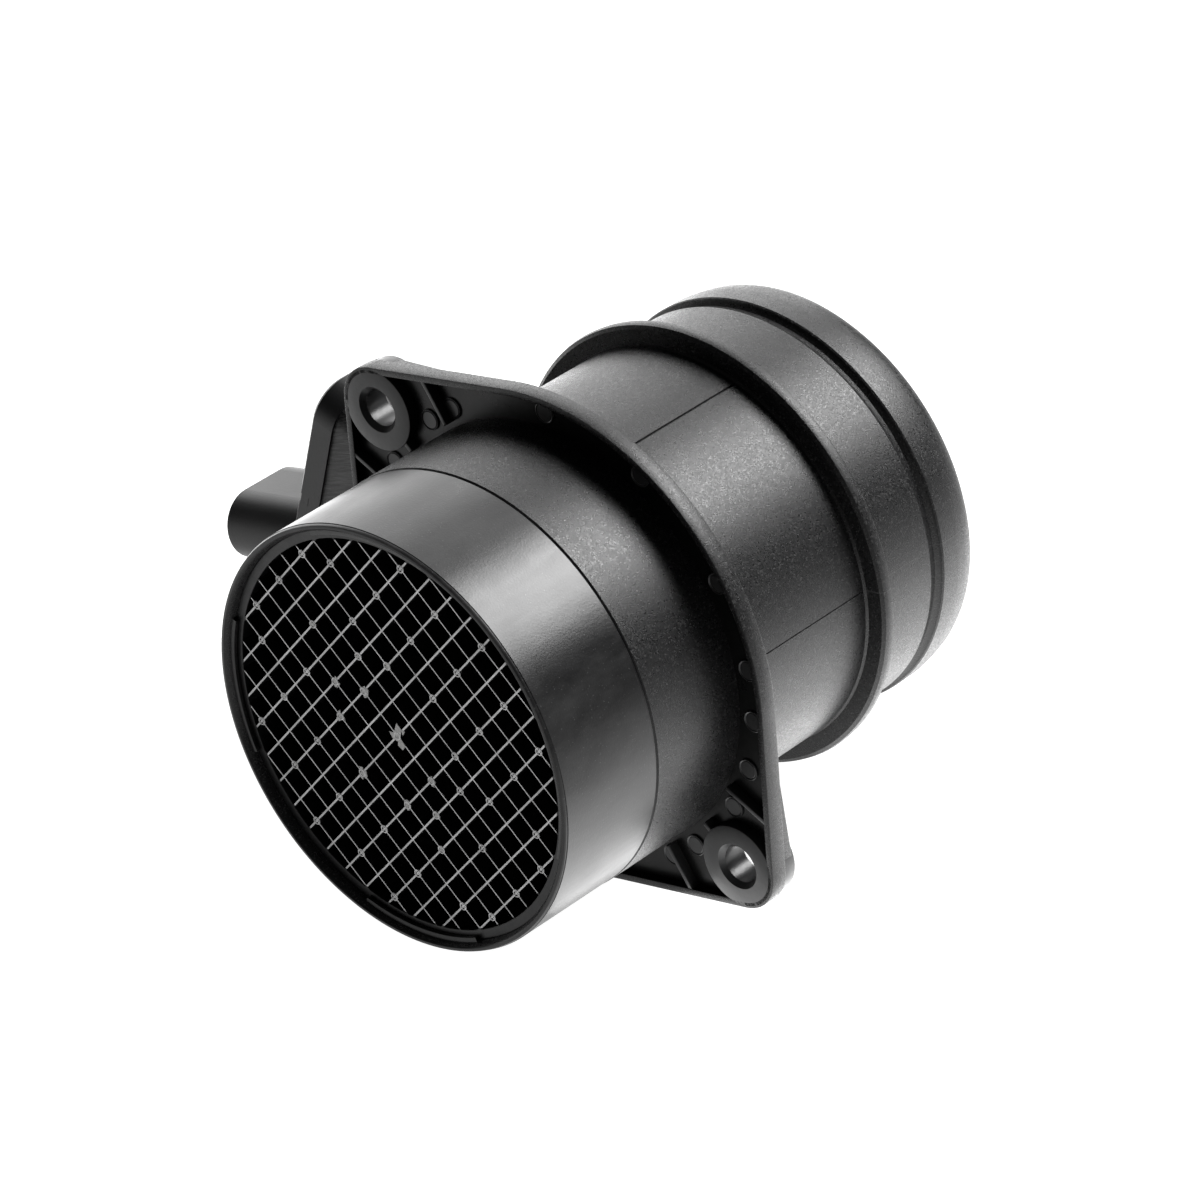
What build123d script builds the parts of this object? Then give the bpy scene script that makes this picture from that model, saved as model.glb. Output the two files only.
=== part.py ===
from build123d import *
from math import acos, cos, degrees, radians, sin, tan
import os

# Mass airflow sensor: a plastic measuring tube with a bolt-on flange, a flow straightener
# pressed into its inlet, and a plug-in sensor module screwed to a boss on its side.
# Millimetres. +Y is the direction of the airflow along the tube axis and +Z is up.
# The origin is on the tube axis, in the front face of the flange.

# ---- measuring tube: driving dimensions ----
duct_radius = 36.0
tube_wall = 2.5
recess_step = 2.8
recess_depth = 12.5
lip_wall = 1.2
lip_round = 0.5
inlet_length = 42.0
outlet_length = 67.3
collar_start = 37.8
collar_width = 2.8
collar_height = 3.9
seat_step = 0.25
seat_length = 14.3
seat_groove_width = 2.5
seat_groove_depth = 0.65
end_ring_height = 0.65
end_taper = 0.6
end_round = 2.4

# ---- flange ----
flange_reach = 7.0
flange_thickness = 3.5
pocket_depth = 2.0
rim_wall = 1.3
bolt_reach = 10.7
bolt_angle = 145.4
bolt_hole_diameter = 6.7
bolt_hole_chamfer = 0.8
ear_radius = 8.1
ear_boss_radius = 7.8
ear_boss_length = 6.5
ear_boss_taper = 4.0
gusset_length = 22.0
gusset_thickness = 2.0
rib_thickness = 1.0
rib_spreads = [-16.8, 0.0, 15.0]
rib_gap = 1.2

# ---- flow straightener ----
straightener_inset = 2.0
straightener_depth = 10.0
straightener_clearance = 0.15
straightener_rim = 2.4
grid_pitch = 4.78
grid_wall = 0.5
grid_angle = 53.9
smallest_cell_area = 5.0
snap_inset = 1.0
snap_reach = 1.1
snap_root = 0.3
snap_angle = 40.0
snap_centre = 8.0

# ---- sensor module head and its boss ----
head_angle = 168.0
boss_height = 19.7
head_thickness = 5.1
head_top = 11.2
head_bottom = 37.2
head_start = 3.0
head_length = 25.0
head_corner = 6.5
head_rear_corner = 12.0
boss_inset = 0.5
boss_shelf = 8.0
boss_foot_depth = 6.0
boss_foot_drop = 19.0
screw_drop = 13.5
screw_spacing = 17.8
screw_hole_diameter = 3.7
screw_pilot_diameter = 2.9
screw_diameter = 3.5
screw_length = 14.0
screw_head_diameter = 6.6
screw_head_height = 2.4
screw_drive_width = 3.0
screw_recess_depth = 2.6
screw_recess_gap = 0.4
screw_thread_clearance = 0.05

# ---- sensor finger ----
finger_start = 7.5
finger_length = 16.0
finger_thickness = 11.0
finger_drop = 2.0
finger_tip = 12.0
finger_clearance = 0.4
finger_corner = 2.0
collar_length = 4.5
collar_margin = 1.8
collar_clearance = 0.2
seal_section = 2.0
seal_groove_depth = 1.2

# ---- connector shell ----
connector_tilt = 28.5
connector_root = 27.0
connector_length = 18.0
connector_width = 22.0
connector_height = 13.0
connector_wall = 1.6
connector_cavity_depth = 14.5
connector_offset = 0.0
keying_rib_width = 2.0
keying_rib_height = 0.9
latch_lug_width = 6.0
latch_lug_height = 1.6
latch_lug_setback = 3.0
latch_lug_ramp = 4.5
latch_lug_flat = 1.5

# ---- terminals ----
terminal_count = 5
terminal_pitch = 2.2
terminal_thickness = 0.64
terminal_width = 1.0
terminal_reach = 8.5
terminal_tail = 6.0

# ---- inside the finger ----
chamber_bottom = 19.0
chamber_top_drop = 6.2
chamber_wall = 2.0
chamber_floor = 3.3
cover_thickness = 1.4
cover_lap = 1.0
cover_clearance = 0.1
channel_half_height = 4.5
channel_floor = 2.4
channel_bend_radius = 5.5
base_plate_thickness = 1.2
base_plate_clearance = 0.2
tongue_width = 5.0
tongue_clearance = 0.15
board_thickness = 0.8
board_margin = 0.6
chip_side = 5.5
chip_height = 1.1
capacitor_length = 2.4
capacitor_width = 1.4
capacitor_height = 1.2
capacitor_spacing = 3.6
carrier_length = 9.0
carrier_width = 5.0
carrier_thickness = 1.6
film_chip_side = 3.2
film_chip_thickness = 0.5
thermistor_radius = 1.1
thermistor_lead_diameter = 0.45
thermistor_lead_spacing = 1.2
thermistor_lead_tail = 5.0
window_width = 4.6
window_height = 5.0
window_middle = 12.0
window_shift = 3.3
tongue_shift = 3.5

# ---- derived sizes and places ----
outlet_radius = duct_radius + tube_wall
recess_radius = duct_radius + recess_step
inlet_radius = recess_radius + lip_wall
collar_radius = outlet_radius + collar_height
seat_radius = outlet_radius + seat_step
seat_start = collar_start + collar_width
seat_end = seat_start + seat_length
end_ring_start = seat_end + seat_groove_width
end_ring_radius = seat_radius + end_ring_height
end_taper_radius = end_ring_radius - end_taper
round_step = end_round * (1 - cos(radians(45)))
flange_radius = inlet_radius + flange_reach
bolt_circle_radius = inlet_radius + bolt_reach
straightener_mouth_radius = recess_radius - straightener_rim
head_seat = outlet_radius + boss_height
boss_foot_radius = duct_radius - boss_foot_depth
chamber_top = head_seat - chamber_top_drop
lip_y = -inlet_length
recess_end_y = lip_y + recess_depth
grid_front_y = lip_y + straightener_inset
head_outer = head_seat + head_thickness
head_middle_y = head_start + head_length / 2
finger_middle_y = finger_start + finger_length / 2
half_finger = finger_thickness / 2
edge_swing = degrees(acos((flange_radius - ear_radius) / bolt_circle_radius))
window_middle_y = finger_middle_y + window_shift
tongue_middle_y = finger_middle_y - tongue_shift
chamber_floor_level = chamber_floor - half_finger
board_bottom_level = chamber_floor_level + base_plate_thickness
board_top_level = board_bottom_level + board_thickness
lead_level = board_top_level + thermistor_lead_diameter / 2 - finger_drop
lead_places = [(lead_level, window_middle_y + step * thermistor_lead_spacing / 2) for step in (-1, 1)]
screw_places = [(-screw_drop, head_middle_y + step * screw_spacing / 2) for step in (-1, 1)]
cover_face = half_finger
cover_seat = half_finger - cover_thickness


def direction(angle):
    return Vector(cos(radians(angle)), 0, sin(radians(angle)))


def across(station):
    """Plane across the flow at a station, with X to the right and Z up."""
    return Plane.XZ.offset(-station)


outward = direction(head_angle)
upward = direction(head_angle - 90)
flow = Vector(0, 1, 0)
# Local axes: head is (up, flow, outward), side is (flow, outward, up), profile is (outward, up, flow).
head_plane = Plane(origin=(0, 0, 0), x_dir=upward, z_dir=outward)
side_plane = Plane(origin=upward * -finger_drop, x_dir=flow, z_dir=upward)
profile_plane = Plane(origin=(0, 0, 0), x_dir=outward, z_dir=flow)

os.makedirs("parts", exist_ok=True)

# Outline of the module's head, which the boss below it follows. One corner is cut rounder.
with BuildSketch(head_plane) as head_outline:
    with Locations(((head_top - head_bottom) / 2, head_middle_y)):
        Rectangle(head_top + head_bottom, head_length)
    to_rear_corner = Axis((0, 0, 0), (1, 1, 0))
    fillet(head_outline.vertices().sort_by(to_rear_corner)[:-1], head_corner)
    fillet(head_outline.vertices().sort_by(to_rear_corner)[-1], head_rear_corner)

# Boss for the sensor module: it stands under the whole head and slopes back to the tube below.
with BuildPart() as sensor_boss:
    with BuildSketch(head_plane.offset(finger_thickness)) as boss_outline:
        add(head_outline.sketch_local)
        offset(amount=-boss_inset, mode=Mode.REPLACE)
    extrude(boss_outline.sketch, amount=head_seat - finger_thickness)
    with BuildSketch(profile_plane.offset(head_start)) as boss_side:
        with BuildLine():
            Polyline(
                (0, head_top),
                (head_seat, head_top),
                (head_seat, -head_bottom),
                (head_seat - boss_shelf, -head_bottom),
                (boss_foot_radius, -boss_foot_drop),
                (0, -boss_foot_drop),
                close=True,
            )
        make_face()
    extrude(boss_side.sketch, amount=head_length, mode=Mode.INTERSECT)

# ---- measuring tube ----
# Moulded in one piece: tube, flange with its open pocket, ears, hose collar and sensor boss.
with BuildPart() as measuring_tube:
    with BuildSketch(Plane.XY) as tube_section:
        with BuildLine():
            Polyline(
                (recess_radius, lip_y),
                (inlet_radius, lip_y),
                (inlet_radius, pocket_depth),
                (outlet_radius, flange_thickness),
                (outlet_radius, collar_start),
                (collar_radius, collar_start),
                (collar_radius, seat_start),
                (seat_radius, seat_start),
                (seat_radius, seat_end),
                (seat_radius - seat_groove_depth, (seat_end + end_ring_start) / 2),
                (end_ring_radius, end_ring_start),
                (end_ring_radius, (end_ring_start + outlet_length) / 2),
                (end_taper_radius, outlet_length - end_round),
                (end_taper_radius - round_step, outlet_length - round_step),
                (end_taper_radius - end_round, outlet_length),
                (duct_radius, outlet_length),
                (duct_radius, recess_end_y),
                (recess_radius, recess_end_y),
                close=True,
            )
        make_face()
        corners = tube_section.vertices()
        chamfer(corners.filter_by_position(Axis.Y, lip_y, lip_y), lip_round)
        collar_corners = corners.filter_by_position(Axis.X, collar_radius - 0.1, collar_radius + 0.1)
        chamfer(collar_corners, collar_width / 4)
    revolve(axis=Axis.Y)

    # Flange: a floor plate inside a raised rim, with an ear at each end of one diameter.
    with BuildSketch(across(0)) as flange_outline:
        Circle(flange_radius)
        with PolarLocations(bolt_circle_radius, 2, start_angle=bolt_angle):
            Circle(ear_radius)
        make_hull()
    with BuildSketch(across(0)) as flange_inside:
        add(flange_outline.sketch_local)
        offset(amount=-rim_wall, mode=Mode.REPLACE)
    with BuildSketch(across(0)) as tube_hole:
        Circle(recess_radius)
    extrude(flange_outline.sketch - tube_hole.sketch, amount=flange_thickness, dir=flow)
    with BuildSketch(across(0)) as pocket:
        add(flange_inside.sketch_local)
        Circle(inlet_radius, mode=Mode.SUBTRACT)
    extrude(pocket.sketch, amount=pocket_depth, dir=flow, mode=Mode.SUBTRACT)

    # Ribs across the pocket beside and behind each bolt boss.
    with BuildSketch(across(0)) as ribs:
        for side in (0, 180):
            for spread in rib_spreads:
                with PolarLocations(bolt_circle_radius, 1, start_angle=bolt_angle + side + spread):
                    Rectangle(2 * ear_radius + 8, rib_thickness)
        add(flange_inside.sketch_local, mode=Mode.INTERSECT)
        Circle(inlet_radius + rib_gap, mode=Mode.SUBTRACT)
    extrude(ribs.sketch, amount=pocket_depth, dir=flow)

    # Bolt bosses stand flush with the rim and run on, tapered, behind the plate.
    with BuildSketch(across(0)) as bolt_bosses:
        with PolarLocations(bolt_circle_radius, 2, start_angle=bolt_angle):
            Circle(ear_boss_radius)
    extrude(bolt_bosses.sketch, amount=flange_thickness, dir=flow)
    with BuildSketch(across(flange_thickness)) as boss_backs:
        with PolarLocations(bolt_circle_radius, 2, start_angle=bolt_angle):
            Circle(ear_boss_radius)
    boss_back_length = ear_boss_length - flange_thickness
    extrude(boss_backs.sketch, amount=-boss_back_length, taper=ear_boss_taper)

    # Gussets behind the plate rise from the straight edges of the ears to the bosses.
    for side in (0, 180):
        for hand in (-1, 1):
            edge_normal = direction(bolt_angle + side + hand * edge_swing)
            ear_centre = direction(bolt_angle + side) * bolt_circle_radius
            edge_plane = Plane(
                origin=ear_centre + edge_normal * (ear_boss_radius - gusset_thickness),
                x_dir=edge_normal.cross(flow) * hand,
                z_dir=edge_normal,
            )
            rise = edge_plane.y_dir.Y * boss_back_length * 0.9
            with BuildSketch(edge_plane) as gusset:
                with BuildLine():
                    Polyline(
                        (0, edge_plane.y_dir.Y * (flange_thickness - 0.5)),
                        (gusset_length, edge_plane.y_dir.Y * (flange_thickness - 0.5)),
                        (gusset_length, edge_plane.y_dir.Y * flange_thickness),
                        (0, edge_plane.y_dir.Y * flange_thickness + rise),
                        close=True,
                    )
                make_face()
            extrude(gusset.sketch, amount=gusset_thickness * 0.8)

    # Snap tongues in the mouth hold the flow straightener down on its shoulder.
    with BuildSketch(across(lip_y + snap_inset)) as snap_tongues:
        for quarter in range(4):
            middle = snap_centre + 90 * quarter
            with BuildLine():
                CenterArc((0, 0), recess_radius + snap_root, middle - snap_angle / 2, snap_angle)
                CenterArc((0, 0), recess_radius - snap_reach, middle - snap_angle / 2, snap_angle)
                for end in (middle - snap_angle / 2, middle + snap_angle / 2):
                    tip = Vector(cos(radians(end)), sin(radians(end)))
                    Line(tip * (recess_radius - snap_reach), tip * (recess_radius + snap_root))
            make_face()
    extrude(snap_tongues.sketch, amount=straightener_inset - snap_inset, dir=flow)

    # The sensor boss stands on the side of the tube, and the duct runs on inside it.
    add(sensor_boss.part)
    with BuildSketch(across(0)) as duct_outline:
        Circle(duct_radius)
    extrude(duct_outline.sketch, amount=outlet_length, dir=flow, mode=Mode.SUBTRACT)

    # Slot for the finger, its wider seal seat, and the pilot holes of the two screws.
    with BuildSketch(head_plane.offset(duct_radius / 2)) as finger_slot:
        with Locations((-finger_drop, finger_middle_y)):
            slot_thickness = finger_thickness + 2 * finger_clearance
            slot_length = finger_length + 2 * finger_clearance
            RectangleRounded(slot_thickness, slot_length, finger_corner + finger_clearance)
    extrude(finger_slot.sketch, amount=head_seat - duct_radius / 2, mode=Mode.SUBTRACT)
    with BuildSketch(head_plane.offset(head_seat - collar_length)) as seal_seat:
        with Locations((-finger_drop, finger_middle_y)):
            seat_growth = 2 * (collar_margin + collar_clearance)
            RectangleRounded(
                finger_thickness + seat_growth,
                finger_length + seat_growth,
                finger_corner + seat_growth / 2,
            )
    extrude(seal_seat.sketch, amount=collar_length, mode=Mode.SUBTRACT)
    with Locations(head_plane.offset(head_seat)):
        with Locations(*screw_places):
            Hole(screw_pilot_diameter / 2, depth=screw_length)

    # Bolt holes through both ears, with a chamfered mouth.
    with Locations(across(0)):
        with PolarLocations(bolt_circle_radius, 2, start_angle=bolt_angle):
            CounterSinkHole(
                bolt_hole_diameter / 2,
                bolt_hole_diameter / 2 + bolt_hole_chamfer,
                depth=2 * ear_boss_length,
            )

measuring_tube.part.label = "measuring_tube"
export_step(measuring_tube.part, "parts/measuring_tube.step")

# ---- flow straightener ----
# A deep square grid inside a ring, with the odd slivers at the rim left solid.
with BuildPart() as flow_straightener:
    with BuildSketch(across(grid_front_y)) as straightener_ring:
        Circle(recess_radius - straightener_clearance)
    extrude(straightener_ring.sketch, amount=straightener_depth, dir=flow)
    chamfer(flow_straightener.edges().filter_by(GeomType.CIRCLE).sort_by(Axis.Y)[-1], 0.4)
    with BuildSketch(across(grid_front_y)) as cells:
        Circle(straightener_mouth_radius)
        reach = int(straightener_mouth_radius / grid_pitch)
        for turn in (0, 90):
            for line in range(-reach, reach + 1):
                swing = radians(grid_angle + turn + 90)
                wall_middle = (line * grid_pitch * cos(swing), line * grid_pitch * sin(swing))
                with Locations(wall_middle):
                    Rectangle(
                        2 * inlet_radius,
                        grid_wall,
                        rotation=grid_angle + turn,
                        mode=Mode.SUBTRACT,
                    )
    open_cells = Sketch() + cells.sketch.faces().filter_by(lambda cell: cell.area > smallest_cell_area)
    extrude(open_cells, amount=straightener_depth, dir=flow, mode=Mode.SUBTRACT)

flow_straightener.part.label = "flow_straightener"
export_step(flow_straightener.part, "parts/flow_straightener.step")

# ---- terminals ----
# Five stamped strips moulded into the head: a pin in the socket, a run inside the plate,
# and a tail that lies on the circuit board.
socket_axis = outward * cos(radians(connector_tilt)) - upward * sin(radians(connector_tilt))
socket_root = outward * head_outer - upward * connector_root
socket_middle_y = head_middle_y + connector_offset
tail_level = board_top_level + terminal_thickness / 2 - finger_drop
run_level = head_seat + head_thickness * 0.5
pin_tip = connector_length - connector_cavity_depth + terminal_reach
pin_tip_point = (
    head_outer + pin_tip * cos(radians(connector_tilt)),
    -connector_root - pin_tip * sin(radians(connector_tilt)),
)
run_start_point = (
    run_level,
    -connector_root + (head_outer - run_level) * tan(radians(connector_tilt)),
)
terminal_path = [
    pin_tip_point,
    run_start_point,
    (run_level, tail_level),
    (chamber_top - terminal_tail, tail_level),
]


def terminal_station(number):
    return socket_middle_y + (number - (terminal_count - 1) / 2) * terminal_pitch - terminal_width / 2


terminal_parts = []
for number in range(terminal_count):
    with BuildPart() as terminal:
        with BuildSketch(profile_plane.offset(terminal_station(number))) as strip:
            with BuildLine():
                FilletPolyline(*terminal_path, radius=terminal_thickness)
            trace(line_width=terminal_thickness)
        extrude(strip.sketch, amount=terminal_width)
    terminal.part.label = f"terminal_{number + 1}"
    export_step(terminal.part, f"parts/terminal_{number + 1}.step")
    terminal_parts.append(terminal.part)

# ---- sensor housing ----
# One moulding: the head plate, the socket shell of the connector, and the finger in the duct
# with its electronics chamber, its bypass channel and the window of the temperature sensor.
with BuildPart() as sensor_housing:
    with BuildSketch(head_plane.offset(head_seat)) as plate_outline:
        add(head_outline.sketch_local)
    extrude(plate_outline.sketch, amount=head_thickness)
    chamfer(sensor_housing.faces().sort_by(Axis(origin=(0, 0, 0), direction=outward))[-1].edges(), 0.6)

    socket_plane = Plane(
        origin=socket_root + flow * socket_middle_y,
        x_dir=flow * -1,
        z_dir=socket_axis,
    )
    with BuildSketch(socket_plane.offset(-head_thickness)) as socket_shell:
        SlotOverall(connector_width, connector_height)
    extrude(socket_shell.sketch, amount=connector_length + head_thickness)
    split(bisect_by=head_plane.offset(head_seat), keep=Keep.TOP)
    mouth_face = sensor_housing.faces().sort_by(Axis(origin=(0, 0, 0), direction=socket_axis))[-1]
    chamfer(mouth_face.edges(), 0.4)
    with BuildSketch(socket_plane.offset(connector_length)) as socket_cavity:
        SlotOverall(connector_width - 2 * connector_wall, connector_height - 2 * connector_wall)
    extrude(socket_cavity.sketch, amount=-connector_cavity_depth, mode=Mode.SUBTRACT)
    with BuildSketch(socket_plane.offset(connector_length - connector_cavity_depth)) as keying_ribs:
        rib_middle = connector_height / 2 - connector_wall - keying_rib_height / 2
        with Locations((-connector_width / 4, rib_middle), (connector_width / 4, rib_middle)):
            Rectangle(keying_rib_width, keying_rib_height)
    extrude(keying_ribs.sketch, amount=connector_cavity_depth - 2)

    # Lug under the shell, over which the plug's latch snaps.
    lug_plane = Plane(origin=socket_plane.origin, x_dir=socket_axis, z_dir=flow)
    lug_front = connector_length - latch_lug_setback
    lug_back = lug_front - latch_lug_ramp - latch_lug_flat
    lug_foot = 0.3 - connector_height / 2
    lug_top = -connector_height / 2 - latch_lug_height
    with BuildSketch(lug_plane.offset(-latch_lug_width / 2)) as latch_lug:
        with BuildLine():
            Polyline(
                (lug_back, lug_foot),
                (lug_back, lug_top),
                (lug_back + latch_lug_flat, lug_top),
                (lug_front, lug_foot),
                close=True,
            )
        make_face()
    extrude(latch_lug.sketch, amount=latch_lug_width)

    # Finger and the collar that carries the seal.
    with BuildSketch(head_plane.offset(-finger_tip)) as finger_outline:
        with Locations((-finger_drop, finger_middle_y)):
            RectangleRounded(finger_thickness, finger_length, finger_corner)
    extrude(finger_outline.sketch, amount=finger_tip + head_seat)
    with BuildSketch(head_plane.offset(head_seat - collar_length)) as collar_outline:
        with Locations((-finger_drop, finger_middle_y)):
            RectangleRounded(
                finger_thickness + 2 * collar_margin,
                finger_length + 2 * collar_margin,
                finger_corner + collar_margin,
            )
    extrude(collar_outline.sketch, amount=collar_length)
    groove_bottom = head_seat - (collar_length + seal_section) / 2
    groove_margin = collar_margin - seal_groove_depth
    with BuildSketch(head_plane.offset(groove_bottom)) as seal_groove:
        with Locations((-finger_drop, finger_middle_y)):
            RectangleRounded(
                finger_thickness + 2 * collar_margin,
                finger_length + 2 * collar_margin,
                finger_corner + collar_margin,
            )
            RectangleRounded(
                finger_thickness + 2 * groove_margin,
                finger_length + 2 * groove_margin,
                finger_corner + groove_margin,
                mode=Mode.SUBTRACT,
            )
    extrude(seal_groove.sketch, amount=seal_section, mode=Mode.SUBTRACT)

    # Electronics chamber, open towards its cover, with a rebate round its mouth.
    chamber_middle = (finger_middle_y, (chamber_bottom + chamber_top) / 2)
    chamber_size = (finger_length - 2 * chamber_wall, chamber_top - chamber_bottom)
    with BuildSketch(side_plane.offset(chamber_floor_level)) as chamber:
        with Locations(chamber_middle):
            Rectangle(*chamber_size)
    extrude(chamber.sketch, amount=cover_face - chamber_floor_level, mode=Mode.SUBTRACT)
    with BuildSketch(side_plane.offset(cover_seat)) as chamber_rebate:
        with Locations(chamber_middle):
            Rectangle(chamber_size[0] + 2 * cover_lap, chamber_size[1] + 2 * cover_lap)
    extrude(chamber_rebate.sketch, amount=cover_thickness, mode=Mode.SUBTRACT)

    # Bypass channel: in at the front of the finger, round a bend and out at its tip.
    channel_back_y = finger_start + finger_length - chamber_wall
    channel_turn_y = channel_back_y - 2 * channel_half_height
    with BuildSketch(side_plane.offset(channel_floor - half_finger)) as channel:
        with BuildLine():
            Polyline(
                (finger_start, channel_half_height),
                (channel_back_y, channel_half_height),
                (channel_back_y, -finger_tip),
                (channel_turn_y, -finger_tip),
                (channel_turn_y, -channel_half_height),
                (finger_start, -channel_half_height),
                close=True,
            )
        make_face()
        fillet(channel.vertices().sort_by(Axis.X)[-2:].sort_by(Axis.Y)[-1], channel_bend_radius)
    extrude(channel.sketch, amount=finger_thickness - channel_floor, mode=Mode.SUBTRACT)
    bypass_top = channel_half_height + 2 * cover_lap
    with BuildSketch(side_plane.offset(cover_seat)) as bypass_rebate:
        with Locations((finger_middle_y - cover_lap / 2, (bypass_top - finger_tip) / 2)):
            Rectangle(finger_length - cover_lap, bypass_top + finger_tip)
    extrude(bypass_rebate.sketch, amount=cover_thickness, mode=Mode.SUBTRACT)

    # Window for the temperature sensor, slot for the tongue, and the leads' bores.
    with BuildSketch(side_plane.offset(-half_finger)) as window:
        with Locations((window_middle_y, window_middle)):
            RectangleRounded(window_width, window_height, 1.0)
    extrude(window.sketch, amount=finger_thickness, mode=Mode.SUBTRACT)
    with BuildSketch(side_plane.offset(chamber_floor_level - tongue_clearance)) as tongue_slot:
        with Locations((tongue_middle_y, chamber_bottom / 2)):
            Rectangle(tongue_width + 2 * tongue_clearance, chamber_bottom + 1)
    extrude(tongue_slot.sketch, amount=base_plate_thickness + 2 * tongue_clearance, mode=Mode.SUBTRACT)
    with BuildSketch(head_plane.offset(window_middle)) as lead_bores:
        with Locations(*lead_places):
            Circle(thermistor_lead_diameter / 2)
    extrude(lead_bores.sketch, amount=chamber_bottom - window_middle + 1, mode=Mode.SUBTRACT)

    # Screw holes through the head, and the beds of the moulded-in terminals.
    with Locations(head_plane.offset(head_outer)):
        with Locations(*screw_places):
            CounterBoreHole(
                screw_hole_diameter / 2,
                screw_head_diameter / 2 + screw_recess_gap,
                screw_recess_depth,
                depth=head_thickness,
            )
    add(terminal_parts, mode=Mode.SUBTRACT)

sensor_housing.part.label = "sensor_housing"
export_step(sensor_housing.part, "parts/sensor_housing.step")

# ---- housing seal ----
# Rubber ring in the groove of the collar, pressed between the head and the tube.
with BuildPart() as housing_seal:
    with BuildSketch(head_plane.offset(groove_bottom)) as seal_outline:
        with Locations((-finger_drop, finger_middle_y)):
            seal_growth = 2 * (collar_margin + collar_clearance)
            RectangleRounded(
                finger_thickness + seal_growth,
                finger_length + seal_growth,
                finger_corner + seal_growth / 2,
            )
            RectangleRounded(
                finger_thickness + 2 * groove_margin,
                finger_length + 2 * groove_margin,
                finger_corner + groove_margin,
                mode=Mode.SUBTRACT,
            )
    extrude(seal_outline.sketch, amount=seal_section)

housing_seal.part.label = "housing_seal"
export_step(housing_seal.part, "parts/housing_seal.step")

# ---- fixing screws ----
# Two pan-head thread-forming screws, sunk in the head, hold it down on the boss.
screw_seat = head_outer - screw_recess_depth
with BuildPart() as fixing_screws:
    for place in screw_places:
        with Locations(head_plane.offset(screw_seat)):
            with Locations(place):
                Cylinder(
                    screw_head_diameter / 2,
                    screw_head_height,
                    align=(Align.CENTER, Align.CENTER, Align.MIN),
                )
                Cylinder(
                    screw_diameter / 2,
                    screw_seat - head_seat,
                    align=(Align.CENTER, Align.CENTER, Align.MAX),
                )
        with Locations(head_plane.offset(head_seat)):
            with Locations(place):
                Cylinder(
                    screw_pilot_diameter / 2 - screw_thread_clearance,
                    screw_length - (screw_seat - head_seat),
                    align=(Align.CENTER, Align.CENTER, Align.MAX),
                )
    flat_faces = fixing_screws.faces().filter_by(GeomType.PLANE)
    head_tops = flat_faces.sort_by(Axis(origin=(0, 0, 0), direction=outward))[-2:]
    chamfer([edge for face in head_tops for edge in face.edges()], screw_head_height * 0.4)
    with BuildSketch(head_plane.offset(screw_seat + screw_head_height)) as screw_drives:
        with Locations(*screw_places):
            Rectangle(screw_drive_width, screw_drive_width / 3.5)
            Rectangle(screw_drive_width / 3.5, screw_drive_width)
    extrude(screw_drives.sketch, amount=-screw_head_height * 0.6, mode=Mode.SUBTRACT)
fixing_screws.part.label = "fixing_screws"
export_step(fixing_screws.part, "parts/fixing_screws.step")

# ---- covers ----
# Flat plastic lids glued into the rebates of the finger.
with BuildPart() as electronics_cover:
    with BuildSketch(side_plane.offset(cover_seat)) as cover_outline:
        with Locations(chamber_middle):
            cover_growth = 2 * (cover_lap - cover_clearance)
            Rectangle(chamber_size[0] + cover_growth, chamber_size[1] + cover_growth)
    extrude(cover_outline.sketch, amount=cover_thickness)
    chamfer(electronics_cover.faces().sort_by(Axis(origin=(0, 0, 0), direction=upward))[-1].edges(), 0.3)
electronics_cover.part.label = "electronics_cover"
export_step(electronics_cover.part, "parts/electronics_cover.step")

with BuildPart() as bypass_cover:
    with BuildSketch(side_plane.offset(cover_seat)) as bypass_outline:
        lid_top = bypass_top - cover_clearance
        lid_length = finger_length - cover_lap - cover_clearance
        with Locations((finger_start + lid_length / 2, (lid_top - finger_tip) / 2)):
            Rectangle(lid_length, lid_top + finger_tip)
    extrude(bypass_outline.sketch, amount=cover_thickness)
    extrude(finger_outline.sketch, amount=finger_tip + head_seat, mode=Mode.INTERSECT)
bypass_cover.part.label = "bypass_cover"
export_step(bypass_cover.part, "parts/bypass_cover.step")

# ---- base plate ----
# Stamped aluminium plate on the chamber floor; its tongue reaches into the bypass channel.
with BuildPart() as base_plate:
    with BuildSketch(side_plane.offset(chamber_floor_level)) as plate_outline:
        with Locations(chamber_middle):
            Rectangle(
                chamber_size[0] - 2 * base_plate_clearance,
                chamber_size[1] - 2 * base_plate_clearance,
            )
        tongue_tip = -carrier_length / 2
        with Locations((tongue_middle_y, (chamber_bottom + 1 + tongue_tip) / 2)):
            Rectangle(tongue_width, chamber_bottom + 1 - tongue_tip)
    extrude(plate_outline.sketch, amount=base_plate_thickness)
base_plate.part.label = "base_plate"
export_step(base_plate.part, "parts/base_plate.step")

# ---- sensor carrier and hot film chip ----
# A small tub on the tongue holds the silicon chip with its face in the airflow.
with BuildPart() as sensor_carrier:
    with BuildSketch(side_plane.offset(board_bottom_level)) as carrier_outline:
        with Locations((tongue_middle_y, 0)):
            RectangleRounded(carrier_width, carrier_length, 0.8)
    extrude(carrier_outline.sketch, amount=carrier_thickness)
    with BuildSketch(side_plane.offset(board_bottom_level + carrier_thickness)) as chip_tub:
        with Locations((tongue_middle_y, 0)):
            Rectangle(film_chip_side + 2 * cover_clearance, film_chip_side + 2 * cover_clearance)
    extrude(chip_tub.sketch, amount=-film_chip_thickness, mode=Mode.SUBTRACT)
sensor_carrier.part.label = "sensor_carrier"
export_step(sensor_carrier.part, "parts/sensor_carrier.step")

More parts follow.
